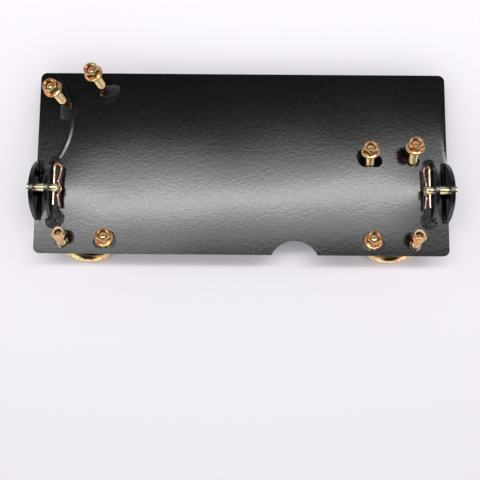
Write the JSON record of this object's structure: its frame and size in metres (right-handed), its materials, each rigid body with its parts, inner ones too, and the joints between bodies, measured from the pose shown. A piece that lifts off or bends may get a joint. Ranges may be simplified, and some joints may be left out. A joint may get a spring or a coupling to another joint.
{
  "type": "atv plow blade mount",
  "caption": "Flat steel mounting plate with a welded clevis, pin and hairpin at each end, hung on U-bolts that clamp it under an ATV's frame tubes.",
  "frame": {"origin": "middle of the plate's underside, the face that meets the vehicle's frame tubes", "axes": "+X along the plate's length, +Y across it away from the notched edge, +Z out of the side that carries the clevises and nuts"},
  "size_m": [0.3922, 0.18, 0.0704],
  "materials": {
    "black_powder_coat": "glossy black powder coat on steel, slight orange peel",
    "yellow_zinc": "steel with yellow zinc chromate plating, iridescent",
    "white_nylon": "natural nylon insert ring"
  },
  "bodies": {
    "mount": {"mount_plate": "black_powder_coat", "left_outer_ear": "black_powder_coat", "left_inner_ear": "black_powder_coat", "left_outer_ear_weld": "black_powder_coat", "left_inner_ear_weld": "black_powder_coat", "right_outer_ear": "black_powder_coat", "right_inner_ear": "black_powder_coat", "right_outer_ear_weld": "black_powder_coat", "right_inner_ear_weld": "black_powder_coat"},
    "left_pin": {"left_clevis_pin": "yellow_zinc"},
    "left_clip": {"left_hairpin": "yellow_zinc"},
    "right_pin": {"right_clevis_pin": "yellow_zinc"},
    "right_clip": {"right_hairpin": "yellow_zinc"},
    "lower_left_u_bolt": {"lower_left_u_bolt": "yellow_zinc"},
    "lower_left_lock_nut": {"lower_left_lock_nut": "yellow_zinc", "lower_left_lock_nut_insert": "white_nylon"},
    "lower_left_inner_flange_nut": {"lower_left_inner_flange_nut": "yellow_zinc"},
    "lower_right_u_bolt": {"lower_right_u_bolt": "yellow_zinc"},
    "lower_right_inner_flange_nut": {"lower_right_inner_flange_nut": "yellow_zinc"},
    "lower_right_lock_nut": {"lower_right_lock_nut": "yellow_zinc", "lower_right_lock_nut_insert": "white_nylon"},
    "upper_right_u_bolt": {"upper_right_u_bolt": "yellow_zinc"},
    "upper_right_inner_flange_nut": {"upper_right_inner_flange_nut": "yellow_zinc"},
    "upper_right_outer_flange_nut": {"upper_right_outer_flange_nut": "yellow_zinc"},
    "upper_left_u_bolt": {"upper_left_u_bolt": "yellow_zinc"},
    "upper_left_outer_flange_nut": {"upper_left_outer_flange_nut": "yellow_zinc"},
    "upper_left_inner_flange_nut": {"upper_left_inner_flange_nut": "yellow_zinc"}
  },
  "joints": [
    {"name": "left_pin_turn", "type": "hinge", "parent": "mount", "child": "left_pin", "pos_m": [-0.1935, -0.0276, 0.0152], "axis": [1, 0, 0], "range_deg": [-12, 20]},
    {"name": "left_clip_pull", "type": "slide", "parent": "left_pin", "child": "left_clip", "axis": [0, 1, 0], "range_m": [0, 0.021], "deforming": ["left_hairpin"]},
    {"name": "right_pin_turn", "type": "hinge", "parent": "mount", "child": "right_pin", "pos_m": [0.1935, -0.0276, 0.0152], "axis": [1, 0, 0], "range_deg": [-6, 8]},
    {"name": "right_clip_pull", "type": "slide", "parent": "right_pin", "child": "right_clip", "axis": [0, 1, 0], "range_m": [0, 0.021], "deforming": ["right_hairpin"]},
    {"name": "lower_left_u_bolt_lean", "type": "hinge", "parent": "mount", "child": "lower_left_u_bolt", "pos_m": [-0.147, -0.0762, 0.0006], "axis": [1, 0, 0], "range_deg": [0, 47]},
    {"name": "lower_left_lock_nut_turn", "type": "hinge", "parent": "lower_left_u_bolt", "child": "lower_left_lock_nut", "pos_m": [-0.16617, -0.06971, 0.01552], "axis": [0.0523, 0.3982, 0.9158], "continuous": true},
    {"name": "lower_left_inner_flange_nut_turn", "type": "hinge", "parent": "lower_left_u_bolt", "child": "lower_left_inner_flange_nut", "pos_m": [-0.12623, -0.07055, 0.0136], "axis": [0.0523, 0.3982, 0.9158], "continuous": true},
    {"name": "lower_right_u_bolt_lean", "type": "hinge", "parent": "mount", "child": "lower_right_u_bolt", "pos_m": [0.1425, -0.0762, 0.0006], "axis": [1, 0, 0], "range_deg": [0, 44]},
    {"name": "lower_right_inner_flange_nut_turn", "type": "hinge", "parent": "lower_right_u_bolt", "child": "lower_right_inner_flange_nut", "pos_m": [0.12133, -0.07093, 0.01365], "axis": [-0.0785, 0.3735, 0.9243], "continuous": true},
    {"name": "lower_right_lock_nut_turn", "type": "hinge", "parent": "lower_right_u_bolt", "child": "lower_right_lock_nut", "pos_m": [0.16121, -0.06975, 0.01656], "axis": [-0.0785, 0.3735, 0.9243], "continuous": true},
    {"name": "upper_right_u_bolt_lean", "type": "hinge", "parent": "mount", "child": "upper_right_u_bolt", "pos_m": [0.1417, 0.0027, 0.0006], "axis": [1, 0, 0], "range_deg": [0, 50]},
    {"name": "upper_right_inner_flange_nut_turn", "type": "hinge", "parent": "upper_right_u_bolt", "child": "upper_right_inner_flange_nut", "pos_m": [0.11814, 0.01153, 0.01953], "axis": [-0.1564, 0.4174, 0.8951], "continuous": true},
    {"name": "upper_right_outer_flange_nut_turn", "type": "hinge", "parent": "upper_right_u_bolt", "child": "upper_right_outer_flange_nut", "pos_m": [0.15765, 0.01417, 0.02521], "axis": [-0.1564, 0.4174, 0.8951], "continuous": true},
    {"name": "upper_left_u_bolt_lean", "type": "hinge", "parent": "mount", "child": "upper_left_u_bolt", "pos_m": [-0.1513, 0.064, 0.0006], "axis": [0.9397, 0.342, 0], "range_deg": [-12, 45]},
    {"name": "upper_left_outer_flange_nut_turn", "type": "hinge", "parent": "upper_left_u_bolt", "child": "upper_left_outer_flange_nut", "pos_m": [-0.17445, 0.06327, 0.03193], "axis": [-0.1342, 0.1901, 0.9726], "continuous": true},
    {"name": "upper_left_inner_flange_nut_turn", "type": "hinge", "parent": "upper_left_u_bolt", "child": "upper_left_inner_flange_nut", "pos_m": [-0.13712, 0.07744, 0.03431], "axis": [-0.1342, 0.1901, 0.9726], "continuous": true}
  ]
}
